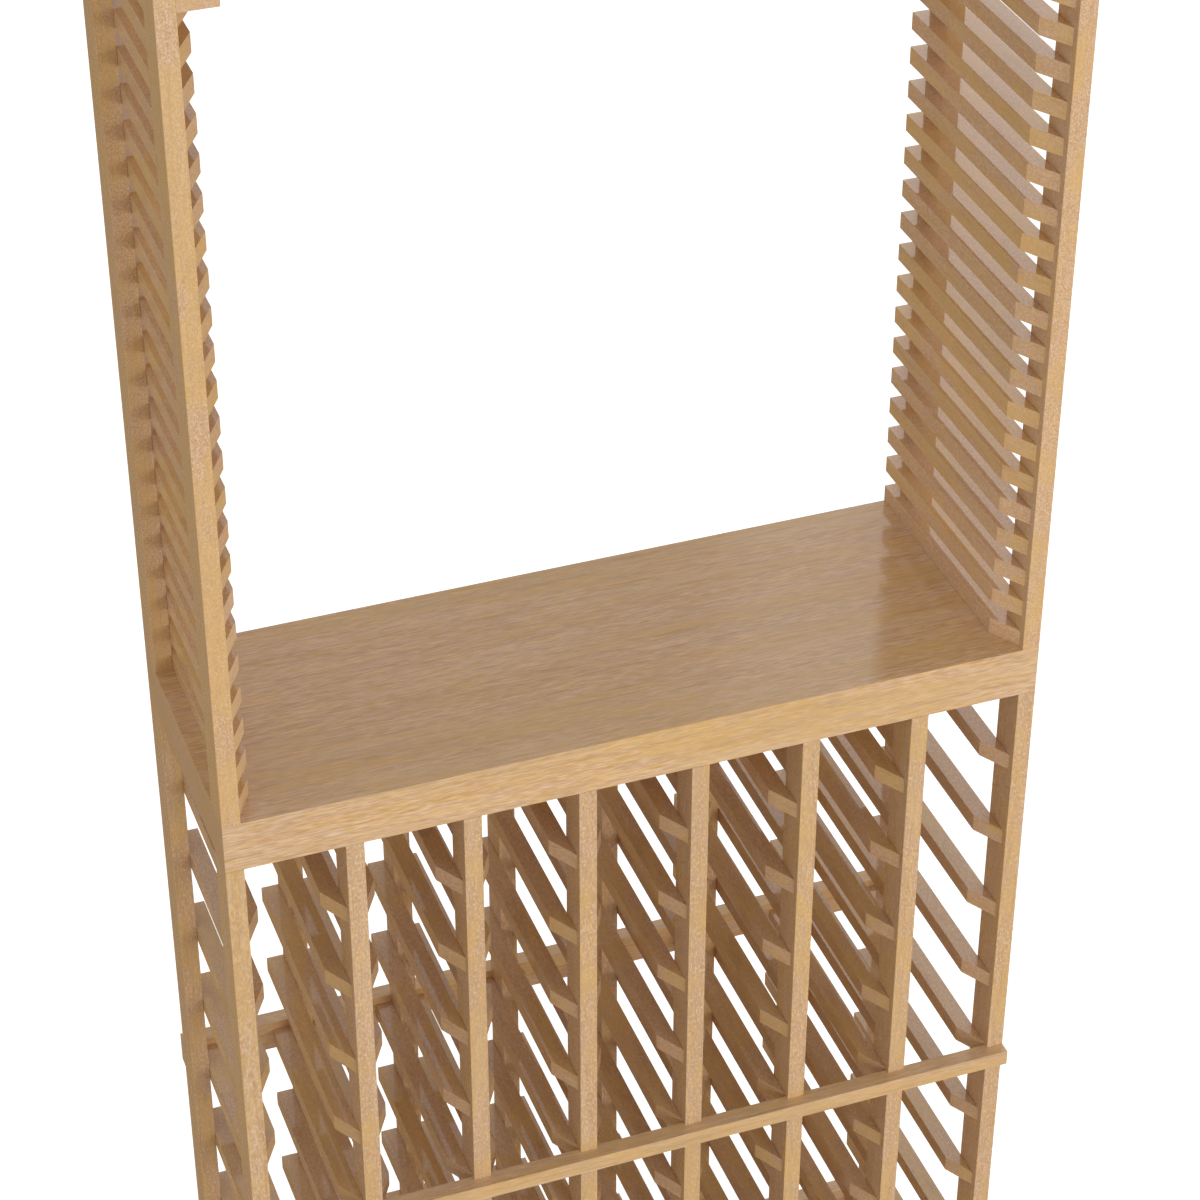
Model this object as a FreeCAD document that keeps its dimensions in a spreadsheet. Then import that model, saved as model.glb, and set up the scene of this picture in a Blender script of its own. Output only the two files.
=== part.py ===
import FreeCAD, Part
import os
import Sketcher

# Freestanding tasting station in solid timber, millimetres.
# A counter-high rack of narrow cells carries a thick tabletop, and four posts on the tabletop
# carry two slatted side screens and a slotted hanging rack under a cap board.
# X runs along the front from left to right, Y from front to back, Z up from the floor.
# The origin is on the floor, in the middle of the footprint.

document = FreeCAD.newDocument("TastingStation")
sheet = document.addObject("Spreadsheet::Sheet", "Sizes")

driving_sizes = {
    # timber: every stick, rail, slat and strip is ripped from one stock
    "stock": 17.5,
    "edge_ease": 0.4,
    # lower rack
    "rack_depth": 284,
    "cell_width": 94.5,
    "column_count": 7,
    "stile_depth": 38,
    "row_pitch": 94.1,
    "rows_below_seam": 5,
    "rows_above_seam": 5,
    "top_cell_gap": 78.25,
    "foot_height": 45,
    "mitre_setback": 7.7,
    # bars across the front and the back
    "bar_let_in": 5,
    "front_bar_drop": 1.5,
    "back_bar_height": 35,
    # tabletop
    "tabletop_thickness": 52.5,
    # upper posts and side screens
    "post_depth": 38,
    "slat_gap": 17.2,
    "slat_count": 23,
    # hanging rack
    "slot_count": 7,
    "slot_width": 41.5,
    "channel_height": 17.5,
    "cap_thickness": 17.5,
    # tenons at the ends of the stiles and posts, and their mortises
    "tenon_thickness": 6,
    "tenon_width": 22,
    "tabletop_web": 12.5,
    "cap_cover": 5.5,
    "mortise_fit": 0.1,
    "mortise_end_room": 1,
}

derived_sizes = {
    # plan of the lower rack
    "column_pitch": "=stock + cell_width",
    "stile_count": "=column_count + 1",
    "rack_width": "=column_count * column_pitch + stock",
    "half_width": "=rack_width / 2",
    "half_depth": "=rack_depth / 2",
    "back_stile_front": "=rack_depth - stile_depth",
    "back_stile_pitch": "=rack_depth - stile_depth",
    # heights of the lower rack, from the floor
    "row_count": "=rows_below_seam + rows_above_seam",
    "seam_rail_base": "=foot_height + rows_below_seam * row_pitch",
    "stile_height": "=foot_height + (row_count - 1) * row_pitch + stock + top_cell_gap",
    "counter_height": "=stile_height + tabletop_thickness",
    # bars, centred on the rails of the lowest row and of the row at the seam
    "bar_projection": "=stock - bar_let_in",
    "front_base_bar_low": "=foot_height - front_bar_drop",
    "front_base_bar_high": "=front_base_bar_low + stock",
    "front_seam_bar_low": "=seam_rail_base - front_bar_drop",
    "front_seam_bar_high": "=front_seam_bar_low + stock",
    "back_base_bar_low": "=foot_height + (stock - back_bar_height) / 2",
    "back_base_bar_high": "=back_base_bar_low + back_bar_height",
    "back_seam_bar_low": "=seam_rail_base + (stock - back_bar_height) / 2",
    "back_seam_bar_high": "=back_seam_bar_low + back_bar_height",
    "back_housing_front": "=rack_depth - bar_let_in",
    # upper posts and side screens, heights from the top of the tabletop
    "post_pitch_across": "=rack_width - stock",
    "post_pitch_back": "=rack_depth - post_depth",
    "slat_pitch": "=stock + slat_gap",
    "strip_base": "=(slat_count - 1) * slat_pitch + stock",
    "spacer_base": "=strip_base + stock",
    "post_height": "=spacer_base + channel_height",
    # hanging rack, across the clear width between the posts
    "slot_pitch": "=(rack_width - 2 * stock) / slot_count",
    "strip_width": "=slot_pitch - slot_width",
    "half_strip_width": "=strip_width / 2",
    "spacer_width": "=stock",
    "half_spacer_width": "=spacer_width / 2",
    # tenons stand in the middle of each end, with shoulders all round
    "tenon_left": "=(stock - tenon_thickness) / 2",
    "tenon_right": "=(stock + tenon_thickness) / 2",
    "stile_tenon_near": "=(stile_depth - tenon_width) / 2",
    "stile_tenon_far": "=(stile_depth + tenon_width) / 2",
    "back_stile_tenon_near": "=back_stile_front + stile_tenon_near",
    "back_stile_tenon_far": "=back_stile_front + stile_tenon_far",
    "post_tenon_near": "=(post_depth - tenon_width) / 2",
    "post_tenon_far": "=(post_depth + tenon_width) / 2",
    "mortise_left": "=tenon_left - mortise_fit",
    "mortise_right": "=tenon_right + mortise_fit",
    "stile_mortise_near": "=stile_tenon_near - mortise_fit",
    "stile_mortise_far": "=stile_tenon_far + mortise_fit",
    "post_mortise_near": "=post_tenon_near - mortise_fit",
    "post_mortise_far": "=post_tenon_far + mortise_fit",
    "tabletop_mortise_depth": "=(tabletop_thickness - tabletop_web) / 2",
    "tabletop_tenon_length": "=tabletop_mortise_depth - mortise_end_room",
    "cap_mortise_depth": "=cap_thickness - cap_cover",
    "cap_tenon_length": "=cap_mortise_depth - mortise_end_room",
}

for row, (alias, content) in enumerate({**driving_sizes, **derived_sizes}.items(), start=1):
    sheet.set(f"A{row}", alias)
    sheet.set(f"B{row}", str(content))
    sheet.setAlias(f"B{row}", alias)
document.recompute()


def size(alias):
    """value of one named size of the sheet"""
    return float(getattr(sheet, alias))


def origin_feature(body, role):
    """plane or axis of the body's own origin"""
    return [feature for feature in body.Origin.OriginFeatures if feature.Role == role][0]


def new_body(label, place):
    """body whose corner stands at an expression in each direction"""
    body = document.addObject("PartDesign::Body", label)
    body.Label = label
    body.AllowCompound = True
    for axis, expression in zip("xyz", place):
        body.setExpression(f"Placement.Base.{axis}", expression)
    return body


def new_sketch(body, name, role, lift=""):
    """sketch on an origin plane, or lifted off it by a named size"""
    sketch = body.newObject("Sketcher::SketchObject", f"{body.Name}_{name}")
    sketch.AttachmentSupport = [(origin_feature(body, role), "")]
    sketch.MapMode = "FlatFace"
    if lift:
        sketch.setExpression("AttachmentOffset.Base.z", f"Sizes.{lift}")
    return sketch


def sketch_point(corner):
    """corner given as two size names, where an empty name is zero"""
    across, along = [size(alias) if alias else 0 for alias in corner]
    return FreeCAD.Vector(across, along, 0)


def hold_point(sketch, geometry, position, corner):
    """ties a point of the sketch to its two named sizes from the origin"""
    for kind, axis, alias in zip(("DistanceX", "DistanceY"), (-2, -1), corner):
        if alias:
            constraint = Sketcher.Constraint(kind, -1, 1, geometry, position, size(alias))
            index = sketch.addConstraint(constraint)
            sketch.setExpression(f"Constraints[{index}]", f"Sizes.{alias}")
        else:
            sketch.addConstraint(Sketcher.Constraint("PointOnObject", geometry, position, axis))


def draw_outline(sketch, corners):
    """closed outline through corners that are pairs of size names"""
    first = sketch.GeometryCount
    for corner, follower in zip(corners, corners[1:] + corners[:1]):
        sketch.addGeometry(Part.LineSegment(sketch_point(corner), sketch_point(follower)), False)
    for index, corner in enumerate(corners):
        follower = first + (index + 1) % len(corners)
        sketch.addConstraint(Sketcher.Constraint("Coincident", first + index, 2, follower, 1))
        hold_point(sketch, first + index, 1, corner)


def rectangle(left, right, near, far):
    """corners of a rectangle between four size names"""
    return [(left, near), (right, near), (right, far), (left, far)]


def pad(body, sketch, length, backwards=False):
    """solid of a sketch, as long as a named size"""
    feature = body.newObject("PartDesign::Pad", f"{sketch.Name}_pad")
    feature.Profile = sketch
    feature.Reversed = backwards
    feature.setExpression("Length", f"Sizes.{length}")
    document.recompute()
    return feature


def ease_edges(body, feature, directions):
    """takes the sharpness off the straight edges that run along the given axes"""
    names = []
    for number, edge in enumerate(feature.Shape.Edges, start=1):
        run = edge.Vertexes[1].Point - edge.Vertexes[0].Point
        if any(abs(run.dot(axis)) > edge.Length * straight_share for axis in directions):
            names.append(f"Edge{number}")
    chamfer = body.newObject("PartDesign::Chamfer", f"{feature.Name}_ease")
    chamfer.Base = (feature, names)
    chamfer.setExpression("Size", "Sizes.edge_ease")
    document.recompute()


def stick(label, place, role, corners, length, directions, lift=""):
    """straight piece of one outline, with its long edges eased"""
    body = new_body(label, place)
    sketch = new_sketch(body, "outline", role, lift)
    draw_outline(sketch, corners)
    ease_edges(body, pad(body, sketch, length), directions)
    return body


def cut(body, sketch, depth="", forwards=False):
    """pocket of a named depth, or right through where no depth is given"""
    volume = body.Shape.Volume
    feature = body.newObject("PartDesign::Pocket", f"{sketch.Name}_cut")
    feature.Profile = sketch
    feature.Reversed = forwards
    if depth:
        feature.setExpression("Length", f"Sizes.{depth}")
    else:
        feature.Type = "ThroughAll"
    document.recompute()
    if not body.Shape.Volume < volume:
        raise RuntimeError(f"{feature.Name} cuts nothing")
    return feature


def repeat(body, original, *rows, mode="Features"):
    """pattern along one or two axes, each with a named pitch and a named count or a pair"""
    pattern = body.newObject("PartDesign::LinearPattern", f"{body.Tip.Name}_rows")
    pattern.TransformMode = mode
    if original:
        pattern.Originals = [original]
    for suffix, (role, pitch, count) in zip(("", "2"), rows):
        setattr(pattern, f"Direction{suffix}", (origin_feature(body, role), [""]))
        setattr(pattern, f"Mode{suffix}", "Spacing")
        pattern.setExpression(f"Offset{suffix}", f"Sizes.{pitch}")
        copies = int(size(count)) if count else 2
        setattr(pattern, f"Occurrences{suffix}", copies)
        setattr(pattern, f"Spacings{suffix}", [even_spacing] * (copies - 1))
        if count:
            pattern.setExpression(f"Occurrences{suffix}", f"Sizes.{count}")
    body.Tip = pattern
    document.recompute()


def add_tenon(body, name, corners, length, lift="", downwards=False):
    """tenon that stands on an end of the piece"""
    sketch = new_sketch(body, name, "XY_Plane", lift)
    draw_outline(sketch, corners)
    pad(body, sketch, length, downwards)


def cut_mortises(body, name, corners, depth, rows, lift=""):
    """mortises in rows, from the underside upwards or from a lifted face down"""
    sketch = new_sketch(body, name, "XY_Plane", lift)
    draw_outline(sketch, corners)
    repeat(body, cut(body, sketch, depth, forwards=not lift), *rows)


def house_bars(body, near, far, level):
    """housings right across the piece for the base bar and the seam bar"""
    sketch = new_sketch(body, "housings", "YZ_Plane")
    for bar in ("base", "seam"):
        draw_outline(sketch, rectangle(near, far, f"{level}_{bar}_bar_low", f"{level}_{bar}_bar_high"))
    cut(body, sketch, forwards=True)


def build_stiles():
    """uprights of the lower rack, front and back in line, each tenoned into the tabletop"""
    levels = (
        ("front", rectangle("", "stock", "", "stile_depth"), ("", "bar_let_in"),
         rectangle("tenon_left", "tenon_right", "stile_tenon_near", "stile_tenon_far")),
        ("back", rectangle("", "stock", "back_stile_front", "rack_depth"),
         ("back_housing_front", "rack_depth"),
         rectangle("tenon_left", "tenon_right", "back_stile_tenon_near", "back_stile_tenon_far")),
    )
    for index in range(int(size("stile_count"))):
        place = (f"Sizes.column_pitch * {index} - Sizes.half_width", rack_front, floor)
        for level, section, housing, tenon in levels:
            label = f"{level}_stile_{index + 1}"
            body = stick(label, place, "XY_Plane", section, "stile_height", [axis_z])
            house_bars(body, *housing, level)
            add_tenon(body, "tenon", tenon, "tabletop_tenon_length", "stile_height")


def mitred_plan(side, inner):
    """plan of a rail or slat: square at the back, mitred in front from its outer edge inwards"""
    near_left, near_right = ("mitre_setback", inner) if side == "left" else (inner, "mitre_setback")
    return [("", near_left), ("stock", near_right), ("stock", "rack_depth"), ("", "rack_depth")]


def build_cell_rails():
    """rails on both sides of every cell, one above the other in each column"""
    for index in range(int(size("column_count"))):
        for side, edge in (("left", "Sizes.stock"), ("right", "Sizes.cell_width")):
            place = (f"Sizes.column_pitch * {index} + {edge} - Sizes.half_width", rack_front, floor)
            label = f"cell_rails_{index + 1}_{side}"
            plan = mitred_plan(side, "stile_depth")
            body = stick(label, place, "XY_Plane", plan, "stock", [axis_y], "foot_height")
            repeat(body, None, ("Z_Axis", "row_pitch", "row_count"), mode="Whole shape")
            house_bars(body, "back_housing_front", "rack_depth", "back")


def build_bars():
    """bars let into the stiles, at the lowest row and at the seam, front and back"""
    for bar in ("base", "seam"):
        place = ("-Sizes.half_width", "-Sizes.half_depth - Sizes.bar_projection",
                 f"Sizes.front_{bar}_bar_low")
        section = rectangle("", "stock", "", "stock")
        stick(f"front_{bar}_bar", place, "YZ_Plane", section, "rack_width", [axis_x])
        place = ("-Sizes.half_width", "Sizes.half_depth - Sizes.bar_let_in",
                 f"Sizes.back_{bar}_bar_low")
        section = rectangle("", "stock", "", "back_bar_height")
        stick(f"back_{bar}_bar", place, "YZ_Plane", section, "rack_width", [axis_x])


def build_tabletop():
    """thick top on the stiles, mortised for the stiles below and for the posts above"""
    place = ("-Sizes.half_width", rack_front, "Sizes.stile_height")
    plan = rectangle("", "rack_width", "", "rack_depth")
    body = stick("tabletop", place, "XY_Plane", plan, "tabletop_thickness", [axis_x, axis_y, axis_z])
    mortise = rectangle("mortise_left", "mortise_right", "stile_mortise_near", "stile_mortise_far")
    rows = (("X_Axis", "column_pitch", "stile_count"), ("Y_Axis", "back_stile_pitch", ""))
    cut_mortises(body, "stile_mortises", mortise, "tabletop_mortise_depth", rows)
    cut_mortises(body, "post_mortises", post_mortise, "tabletop_mortise_depth", post_rows,
                 "tabletop_thickness")


def build_posts():
    """posts at the four corners of the tabletop, with a tenon at each end"""
    sides = (("left", "-Sizes.half_width"), ("right", "Sizes.half_width - Sizes.stock"))
    levels = (("front", rack_front), ("back", "Sizes.half_depth - Sizes.post_depth"))
    section = rectangle("", "stock", "", "post_depth")
    tenon = rectangle("tenon_left", "tenon_right", "post_tenon_near", "post_tenon_far")
    for level, back in levels:
        for side, across in sides:
            place = (across, back, counter)
            body = stick(f"post_{level}_{side}", place, "XY_Plane", section, "post_height", [axis_z])
            add_tenon(body, "foot_tenon", tenon, "tabletop_tenon_length", downwards=True)
            add_tenon(body, "cap_tenon", tenon, "cap_tenon_length", "post_height")


def build_side_slats():
    """screens of stacked slats on the inner faces of the posts"""
    edges = (("left", "Sizes.stock - Sizes.half_width"), ("right", "Sizes.half_width - 2 * Sizes.stock"))
    for side, across in edges:
        plan = mitred_plan(side, "post_depth")
        body = stick(f"side_slats_{side}", (across, rack_front, counter), "XY_Plane", plan, "stock",
                     [axis_y])
        repeat(body, None, ("Z_Axis", "slat_pitch", "slat_count"), mode="Whole shape")


def build_hanging_rack():
    """slotted rack: strips with slots between them, each under a narrower spacer"""
    last = int(size("slot_count"))
    for index in range(last + 1):
        middle = f"Sizes.stock + Sizes.slot_pitch * {index} - Sizes.half_width"
        for piece, height, base in (("strip", "stock", "strip_base"),
                                    ("spacer", "channel_height", "spacer_base")):
            width = f"{piece}_width"
            left = f"{middle} - Sizes.{width} / 2"
            if index in (0, last):
                width = f"half_{piece}_width"
                left = middle if index == 0 else f"{middle} - Sizes.{width}"
            place = (left, rack_front, f"{counter} + Sizes.{base}")
            plan = rectangle("", width, "", "rack_depth")
            stick(f"stem_{piece}_{index + 1}", place, "XY_Plane", plan, height, [axis_y])


def build_cap_board():
    """board on the posts and spacers, mortised from below for the posts"""
    place = ("-Sizes.half_width", rack_front, f"{counter} + Sizes.post_height")
    plan = rectangle("", "rack_width", "", "rack_depth")
    body = stick("cap_board", place, "XY_Plane", plan, "cap_thickness", [axis_x, axis_y, axis_z])
    cut_mortises(body, "post_mortises", post_mortise, "cap_mortise_depth", post_rows)


def check_document():
    """stops if any object failed or any body holds no valid shape"""
    for item in document.Objects:
        if "Invalid" in item.State or "Error" in item.State:
            raise RuntimeError(f"{item.Label} failed: {item.State}")
    for body in bodies:
        if body.Shape.isNull() or not body.Shape.isValid():
            raise RuntimeError(f"{body.Label} has no valid shape")


axis_x = FreeCAD.Vector(1, 0, 0)
axis_y = FreeCAD.Vector(0, 1, 0)
axis_z = FreeCAD.Vector(0, 0, 1)
straight_share = 0.999
even_spacing = -1
rack_front = "-Sizes.half_depth"
floor = "0"
counter = "Sizes.counter_height"
post_mortise = rectangle("mortise_left", "mortise_right", "post_mortise_near", "post_mortise_far")
post_rows = (("X_Axis", "post_pitch_across", ""), ("Y_Axis", "post_pitch_back", ""))

build_stiles()
build_cell_rails()
build_bars()
build_tabletop()
build_posts()
build_side_slats()
build_hanging_rack()
build_cap_board()

document.recompute()
bodies = [item for item in document.Objects if item.TypeId == "PartDesign::Body"]
check_document()

os.makedirs("parts", exist_ok=True)
for body in bodies:
    body.Shape.exportStep(f"parts/{body.Label}.step")
    print(body.Label, len(body.Shape.Solids), "solids", round(body.Shape.Volume), "mm3")
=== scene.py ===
import math
import bmesh
import bpy
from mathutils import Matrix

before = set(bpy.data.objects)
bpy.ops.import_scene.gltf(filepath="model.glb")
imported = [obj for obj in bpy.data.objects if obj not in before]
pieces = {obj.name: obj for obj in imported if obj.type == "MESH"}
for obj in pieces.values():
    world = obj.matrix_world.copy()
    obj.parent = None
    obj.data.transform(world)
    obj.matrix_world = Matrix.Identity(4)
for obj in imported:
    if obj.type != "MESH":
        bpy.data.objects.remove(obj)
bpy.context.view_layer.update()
print("frame loaded:", len(pieces), "timber pieces")

nodeLayout = {"across": 190, "down": 230, "columns": 14}  # how the node editor shows the sheets
noiseMiddle = 0.5  # noises and chances vary around this


# one output socket, so that shader sums read as plain Python
class Signal:
    def __init__(self, sheet, socket):
        self.sheet = sheet
        self.socket = socket

    def combine(self, operation, first, second):
        return self.sheet.node("ShaderNodeMath", {"operation": operation}, {0: first, 1: second})

    def __add__(self, other):
        return self.combine("ADD", self, other)

    def __radd__(self, other):
        return self.combine("ADD", other, self)

    def __sub__(self, other):
        return self.combine("SUBTRACT", self, other)

    def __rsub__(self, other):
        return self.combine("SUBTRACT", other, self)

    def __mul__(self, other):
        return self.combine("MULTIPLY", self, other)

    def __rmul__(self, other):
        return self.combine("MULTIPLY", other, self)

    def larger(self, other):
        return self.combine("MAXIMUM", self, other)

    def size(self):
        return self.combine("ABSOLUTE", self, 0)

    def centred(self):
        return self - noiseMiddle


# the node tree of one material or of the world
class NodeSheet:
    def __init__(self, owner):
        owner.use_nodes = True
        self.tree = owner.node_tree
        self.tree.nodes.clear()

    def node(self, kind, settings=None, sockets=None, output=0):
        made = self.tree.nodes.new(kind)
        row, column = divmod(len(self.tree.nodes), nodeLayout["columns"])
        made.location = (nodeLayout["across"] * column, -nodeLayout["down"] * row)
        for name, value in (settings or {}).items():
            setattr(made, name, value)
        for key, value in (sockets or {}).items():
            if isinstance(value, Signal):
                self.tree.links.new(value.socket, made.inputs[key])
            else:
                made.inputs[key].default_value = value
        return Signal(self, made.outputs[output]) if made.outputs else made

    def vector(self, operation, first, second):
        return self.node("ShaderNodeVectorMath", {"operation": operation}, {0: first, 1: second})

    def parts(self, value):
        split = self.node("ShaderNodeSeparateXYZ", sockets={0: value})
        return [Signal(self, socket) for socket in split.socket.node.outputs]

    def blend(self, factor, first, second, way="MIX"):
        settings = {"data_type": "RGBA", "blend_type": way, "clamp_factor": True}
        return self.node("ShaderNodeMix", settings, {0: factor, 6: first, 7: second}, output=2)

    def spread(self, value, start, full, share=1.0):
        sockets = {"Value": value, "From Min": start, "From Max": full, "To Min": 0.0, "To Max": share}
        return self.node("ShaderNodeMapRange", {"interpolation_type": "SMOOTHSTEP"}, sockets)

    def noise(self, place, scale, detail, roughness, output=0):
        sockets = {"Vector": place, "Scale": scale, "Detail": detail, "Roughness": roughness}
        return self.node("ShaderNodeTexNoise", {"noise_dimensions": "3D"}, sockets, output)


def opaque(colour):
    return (*colour, 1.0)


# lacquered timber, in linear light
timberTones = {
    "gold": (0.682, 0.433, 0.188),
    "rose": (0.640, 0.410, 0.250),
    "pale": (0.725, 0.505, 0.315),
    "honey": (0.688, 0.425, 0.164),
    "straw": (0.785, 0.500, 0.200),
    "ash": (0.560, 0.385, 0.245),
    "dark": (0.505, 0.305, 0.150),
    "fleck": (0.530, 0.310, 0.105),
    "glint": (0.820, 0.590, 0.400),
    "endGrain": (0.550, 0.330, 0.165),
    # painted highlight on the eased edges, lighter and warmer than the gold
    "edgeHighlight": (0.725, 0.450, 0.195),
}

# how the figure lies on the sticks; every scale is in features to the metre,
# and every stretch is what is left of it along the grain
stickLook = {
    "depth": 1.0,
    "drift": 0.010, "driftScale": 14.0, "driftStretch": 0.35,
    "zoneScale": 30.0, "zoneStretch": 0.45,
    "bandScale": 75.0, "bandStretch": 0.08, "bandEdge": 0.14, "paleShare": 0.50, "honeyShare": 0.50,
    "streakScale": 320.0, "streakStretch": 0.05, "streakShare": 0.65,
    "dashScale": 420.0, "dashStretch": 0.10, "dashShare": 0.55, "ashShare": 0.50, "clustering": 0.2,
    "fleckScale": 620.0, "fleckStretch": 0.40, "fleckShare": 0.80, "glintShare": 0.70,
    "gritScale": 1300.0, "gritShare": 0.35,
    "toneSpread": 0.05, "warmSpread": 0.12, "endShare": 0.8, "edgeHighlightShare": 0.5,
    "roughness": 0.26, "bumpStrength": 0.05, "ior": 1.5, "specular": 0.5,
}
slatLook = {
    **stickLook,
    "depth": 1.07,
    "bandScale": 60.0, "bandStretch": 0.12, "bandEdge": 0.22, "honeyShare": 0.25,
    "streakScale": 190.0, "streakStretch": 0.07, "streakShare": 0.55,
    "softAxis": "X", "softStretch": 0.25,  # streaks that are broader across the slat too
    "dashScale": 380.0, "dashStretch": 0.16, "dashShare": 0.30, "ashShare": 0.25,
    "fleckShare": 0.40, "glintShare": 0.40, "gritShare": 0.10,
    "toneSpread": 0.09, "warmSpread": 0.25, "edgeHighlightShare": 0.0,
    "roughness": 0.05, "bumpStrength": 0.01,
}
boardLook = {
    **stickLook,
    "drift": 0.005,
    "zoneScale": 24.0, "zoneStretch": 0.10,
    "bandScale": 50.0, "bandStretch": 0.05, "bandEdge": 0.08, "paleShare": 0.55, "honeyShare": 0.42,
    "streakScale": 170.0, "streakShare": 0.85,
    "dashScale": 350.0, "dashStretch": 0.08, "dashShare": 0.62, "clustering": 0.6,
    "fleckScale": 1000.0, "fleckStretch": 0.07, "fleckShare": 0.60, "glintShare": 0.65,
    "gritShare": 0.20,
    "toneSpread": 0.0, "warmSpread": 0.0, "endShare": 0.6,
    "roughness": 0.12, "bumpStrength": 0.03, "ior": 1.42,
}

# each family adds its grain, where its first stick starts and how far apart its sticks are, in metres:
# stiles 0.112, rows of rails 0.0941, slats 0.0347; a spacer of the hanging rack counts with its strip
families = {
    "uprightTimber": {
        # depth below 1: painted shade, the stiles darker than the posts of the same timber
        **stickLook, "depth": 0.97,
        "grain": "Z", "stickStart": (-0.448, -1.0, 0.0), "stickStep": (0.112, 1.0, 1.02),
        "members": ("front_stile", "back_stile"),
    },
    "postTimber": {
        **stickLook, "paleShare": 0.20, "honeyShare": 0.60, "streakShare": 0.45,
        "dashShare": 0.35, "ashShare": 0.30, "fleckScale": 850.0, "fleckStretch": 0.60, "fleckShare": 0.95,
        "specular": 0.35,
        "grain": "Z", "stickStart": (-1.0, -1.0, 1.0), "stickStep": (1.0, 1.0, 2.0),
        "members": ("post_",),
    },
    "cellRailTimber": {
        # depth 0.96: painted shade, the cell rails darker than the slats of the same timber
        **slatLook, "depth": 0.96,
        "grain": "Y", "stickStart": (-0.392, -1.0, 0.007), "stickStep": (0.056, 2.0, 0.0941),
        "members": ("cell_rails",),
    },
    "screenTimber": {
        **slatLook,
        "grain": "Y", "stickStart": (-1.0, -1.0, 1.03155), "stickStep": (1.0, 2.0, 0.0347),
        "members": ("side_slats",),
    },
    "hangingTimber": {
        **slatLook,
        "grain": "Y", "stickStart": (-0.438, -1.0, 1.0), "stickStep": (0.1095, 2.0, 2.0),
        "members": ("stem_",),
    },
    "barTimber": {
        **boardLook, "roughness": 0.26, "ior": 1.5,
        "grain": "X", "stickStart": (-1.0, -1.0, 0.3), "stickStep": (2.0, 1.0, 1.0),
        "members": ("front_base", "front_seam", "back_base", "back_seam"),
    },
    "boardTimber": {
        **boardLook,
        "grain": "X", "stickStart": (-1.0, -1.0, 0.5), "stickStep": (2.0, 2.0, 1.0),
        "members": ("tabletop", "cap_board"),
    },
}
stickShift = 3.0  # metres of timber that the sticks are picked from, each way

# detail and roughness of each layer's noise
noiseGrades = {
    "drift": (1.0, 0.55),
    "zone": (2.0, 0.55),
    "band": (3.0, 0.60),
    "streak": (3.0, 0.65),
    "dash": (1.0, 0.55),
    "fleck": (1.5, 0.55),
    "grit": (2.0, 0.70),
}

# the noise values at which each colour starts and is full; pale and honey are full one bandEdge further out,
# and the last two read how squarely a face looks along an axis
maskLimits = {
    "rose": (0.40, 0.58),
    "pale": (0.50, 0.54),
    "honey": (0.48, 0.46),
    "dark": (0.50, 0.75),
    "straw": (0.58, 0.68),
    "ash": (0.42, 0.32),
    "fleck": (0.50, 0.68),
    "glint": (0.50, 0.32),
    "endGrain": (0.90, 0.98),
    "flatFace": (0.73, 0.80),
}
speckleShares = {"everywhere": 0.55, "onRose": 0.45}  # flecks and glints show most on rose timber

# what the layers add to the roughness of the lacquer, and how far they stand out of it or lie in it
dullness = {"fleck": 0.06, "endGrain": 0.25, "edgeHighlight": 0.60}
relief = {"streak": 0.5, "fleck": 0.8, "grit": 0.2, "distance": 0.0004}


def stickCoordinates(sheet, look):
    # every stick gets its own place in the timber, found from where it stands on the rack
    place = sheet.node("ShaderNodeTexCoord", output="Object")
    fromStart = sheet.vector("SUBTRACT", place, look["stickStart"])
    stick = sheet.vector("FLOOR", sheet.vector("DIVIDE", fromStart, look["stickStep"]), (0, 0, 0))
    chance = sheet.node("ShaderNodeTexWhiteNoise", {"noise_dimensions": "3D"}, {"Vector": stick}, output="Color")
    shift = sheet.vector("MULTIPLY", chance, (stickShift,) * 3)
    return sheet.vector("ADD", place, shift), sheet.parts(chance)


def figureLayer(sheet, look, layer, place, output=0):
    # the noise of one layer, drawn out along the grain
    shares = {look["grain"]: look[layer + "Stretch"]}
    if layer == "streak" and "softAxis" in look:
        shares[look["softAxis"]] = look["softStretch"]
    drawn = sheet.vector("MULTIPLY", place, tuple(shares.get(axis, 1.0) for axis in "XYZ"))
    return sheet.noise(drawn, look[layer + "Scale"], *noiseGrades[layer], output)


def tint(sheet, colour, mask, tone):
    return sheet.blend(mask, colour, opaque(timberTones[tone]))


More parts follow.
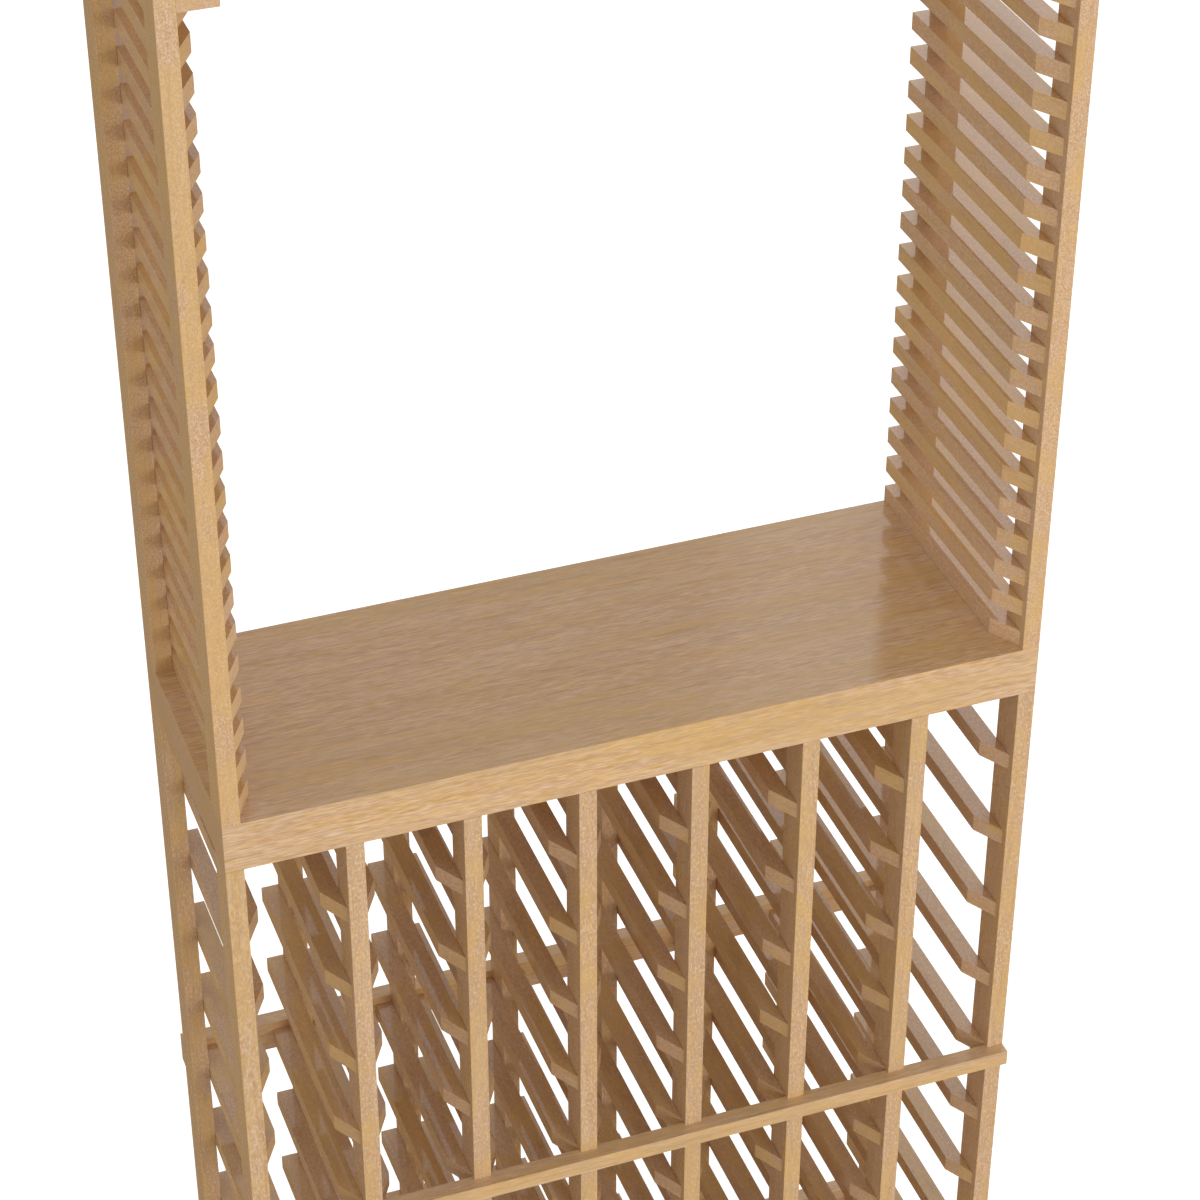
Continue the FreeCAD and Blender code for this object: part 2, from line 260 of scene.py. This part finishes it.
def buildTimber(name, look):
    material = bpy.data.materials.new(name)
    sheet = NodeSheet(material)
    place, (toneChance, warmChance, _) = stickCoordinates(sheet, look)

    # slow drift, so that the figure wanders off the stick's axis
    drift = figureLayer(sheet, look, "drift", place, "Color")
    drift = sheet.vector("SUBTRACT", drift, (noiseMiddle,) * 3)
    drift = sheet.vector("MULTIPLY", drift, (look["drift"],) * 3)
    wandering = sheet.vector("ADD", place, drift)

    # layers from broad to fine
    zones = figureLayer(sheet, look, "zone", place)
    bands = figureLayer(sheet, look, "band", wandering)
    streaks = figureLayer(sheet, look, "streak", wandering)
    dashes = figureLayer(sheet, look, "dash", wandering)
    flecks = figureLayer(sheet, look, "fleck", place)
    grit = sheet.noise(place, look["gritScale"], *noiseGrades["grit"])

    roseMask = sheet.spread(zones + look["warmSpread"] * warmChance.centred(), *maskLimits["rose"])
    colour = tint(sheet, opaque(timberTones["gold"]), roseMask, "rose")
    paleStart, paleFull = maskLimits["pale"]
    paleMask = sheet.spread(bands, paleStart, paleFull + look["bandEdge"], look["paleShare"])
    colour = tint(sheet, colour, paleMask, "pale")
    honeyStart, honeyFull = maskLimits["honey"]
    honeyMask = sheet.spread(bands, honeyStart, honeyFull - look["bandEdge"], look["honeyShare"])
    colour = tint(sheet, colour, honeyMask, "honey")
    darkMask = sheet.spread(streaks, *maskLimits["dark"], look["streakShare"])
    colour = tint(sheet, colour, darkMask, "dark")
    gathered = dashes + look["clustering"] * zones.centred()
    colour = tint(sheet, colour, sheet.spread(gathered, *maskLimits["straw"], look["dashShare"]), "straw")
    colour = tint(sheet, colour, sheet.spread(gathered, *maskLimits["ash"], look["ashShare"]), "ash")

    # the sawn ends are darker, and the flecks lie over them too
    normal = sheet.node("ShaderNodeNewGeometry", output="True Normal")
    facing = dict(zip("XYZ", (part.size() for part in sheet.parts(normal))))
    endMask = sheet.spread(facing[look["grain"]], *maskLimits["endGrain"])
    colour = tint(sheet, colour, endMask * look["endShare"], "endGrain")
    speckle = speckleShares["everywhere"] + speckleShares["onRose"] * roseMask
    fleckMask = sheet.spread(flecks, *maskLimits["fleck"], look["fleckShare"]) * speckle
    colour = tint(sheet, colour, fleckMask, "fleck")
    glintMask = sheet.spread(flecks, *maskLimits["glint"], look["glintShare"]) * speckle
    colour = tint(sheet, colour, glintMask, "glint")

    # the eased edges get a painted highlight, a lighter and warmer tone, and are rubbed dull
    flatness = facing["X"].larger(facing["Y"]).larger(facing["Z"])
    edgeMask = 1 - sheet.spread(flatness, *maskLimits["flatFace"])
    colour = tint(sheet, colour, edgeMask * look["edgeHighlightShare"], "edgeHighlight")

    # the family's depth of colour is lower on the stiles and the cell rails as painted shade, whole sticks differ
    # a little in depth of colour, and the finest grit breaks up flat areas
    depth = look["depth"] + look["toneSpread"] * toneChance.centred() + look["gritShare"] * grit.centred()
    depthColour = sheet.node("ShaderNodeCombineXYZ", sockets={0: depth, 1: depth, 2: depth})
    colour = sheet.blend(1.0, colour, depthColour, "MULTIPLY")

    # satin lacquer, dull where it is thin or rubbed
    roughness = look["roughness"] + dullness["fleck"] * fleckMask + dullness["endGrain"] * endMask
    roughness = roughness + dullness["edgeHighlight"] * edgeMask
    height = relief["streak"] * streaks - relief["fleck"] * fleckMask + relief["grit"] * grit
    bump = sheet.node("ShaderNodeBump", sockets={"Strength": look["bumpStrength"], "Distance": relief["distance"],
                                                 "Height": height})
    shader = sheet.node("ShaderNodeBsdfPrincipled",
                        sockets={"Base Color": colour, "Roughness": roughness, "Normal": bump,
                                 "IOR": look["ior"], "Specular IOR Level": look["specular"]})
    sheet.node("ShaderNodeOutputMaterial", sockets={"Surface": shader})
    return material


def dressPieces():
    for name, look in families.items():
        material = buildTimber(name, look)
        members = [piece for key, piece in pieces.items() if key.startswith(look["members"])]
        for piece in members:
            piece.data.materials.clear()
            piece.data.materials.append(material)
        print(name, "on", len(members), "pieces")


# plain studio: pale floor, white surroundings, a broad softbox in front and a smaller one behind
studio = {
    "floorHalf": 30.0,
    "floorColour": (0.80, 0.80, 0.80),
    # floorSheenColour is the floor's colour in reflections only, a painted warm reflection on the timber's side
    # faces
    "floorSheenColour": (0.58, 0.36, 0.18),
    "floorGlow": 0.75,
    "airColour": (1.0, 1.0, 1.0),
    "ambient": 0.58,  # on the station
    "background": 1.0,  # as the camera and reflections see it
}
softboxes = {
    "frontSoftbox": {"place": (0.75, -4.33, 1.25), "aim": (0.0, 0.0, 1.15), "size": (3.0, 2.2), "power": 84.0,
                     "colour": (1.0, 1.0, 1.0)},
    "rearSoftbox": {"place": (2.136, 3.059, 3.278), "aim": (0.37, 0.0, 1.4), "size": (1.3, 1.5), "power": 5.5,
                    "colour": (1.0, 0.97, 0.88)},
}


def rayKind(sheet, *kinds):
    found = sheet.node("ShaderNodeLightPath", output=kinds[0])
    for kind in kinds[1:]:
        found = found.larger(sheet.node("ShaderNodeLightPath", output=kind))
    return found


def buildSurroundings():
    world = bpy.data.worlds.new("studioAir")
    bpy.context.scene.world = world
    sheet = NodeSheet(world)
    seen = rayKind(sheet, "Is Camera Ray", "Is Glossy Ray", "Is Transmission Ray")
    strength = studio["ambient"] + seen * (studio["background"] - studio["ambient"])
    air = sheet.node("ShaderNodeBackground",
                     sockets={"Color": opaque(studio["airColour"]), "Strength": strength})
    sheet.node("ShaderNodeOutputWorld", sockets={"Surface": air})
    print("surroundings ready")


def buildFloor():
    shape = bmesh.new()
    bmesh.ops.create_grid(shape, x_segments=1, y_segments=1, size=studio["floorHalf"])
    data = bpy.data.meshes.new("studioFloor")
    shape.to_mesh(data)
    shape.free()
    floor = bpy.data.objects.new("studioFloor", data)
    bpy.context.scene.collection.objects.link(floor)
    paint = bpy.data.materials.new("floorPaint")
    sheet = NodeSheet(paint)
    # reflections see the floor in floorSheenColour, a painted warm reflection on the timber's side faces
    tone = sheet.blend(rayKind(sheet, "Is Glossy Ray"), opaque(studio["floorColour"]),
                       opaque(studio["floorSheenColour"]))
    matt = sheet.node("ShaderNodeBsdfDiffuse", sockets={"Color": tone})
    seen = rayKind(sheet, "Is Camera Ray", "Is Transmission Ray")
    glow = sheet.node("ShaderNodeEmission",
                      sockets={"Color": opaque(studio["airColour"]), "Strength": seen * studio["floorGlow"]})
    surface = sheet.node("ShaderNodeAddShader", sockets={0: matt, 1: glow})
    sheet.node("ShaderNodeOutputMaterial", sockets={"Surface": surface})
    data.materials.append(paint)
    print("floor ready")


def buildSoftbox(name, look):
    lamp = bpy.data.lights.new(name, "AREA")
    lamp.shape = "RECTANGLE"
    lamp.size, lamp.size_y = look["size"]
    lamp.energy = look["power"]
    lamp.color = look["colour"]
    softbox = bpy.data.objects.new(name, lamp)
    softbox.location = look["place"]
    # a lamp shines down its own Z, which is turned towards the aim
    x, y, z = (target - start for target, start in zip(look["aim"], look["place"]))
    softbox.rotation_euler = (math.atan2(math.hypot(x, y), -z), 0, math.atan2(-x, y))
    softbox.visible_camera = False
    bpy.context.scene.collection.objects.link(softbox)
    print(name, "ready")


# where the picture was taken from
view = {
    "place": (-0.87285, -2.4181, 2.89725),
    "turn": (55.0, 0.0, -20.0),
    "lens": 100.0,
    "sensor": 36.0,
    "farthest": 200.0,
}


def buildCamera():
    data = bpy.data.cameras.new("photoCamera")
    data.lens = view["lens"]
    data.sensor_width = view["sensor"]
    data.clip_end = view["farthest"]
    camera = bpy.data.objects.new("photoCamera", data)
    camera.location = view["place"]
    camera.rotation_euler = [math.radians(angle) for angle in view["turn"]]
    bpy.context.scene.collection.objects.link(camera)
    bpy.context.scene.camera = camera
    print("camera ready")


dressPieces()
buildSurroundings()
buildFloor()
for name, look in softboxes.items():
    buildSoftbox(name, look)
buildCamera()
bpy.context.scene.view_settings.view_transform = "Standard"
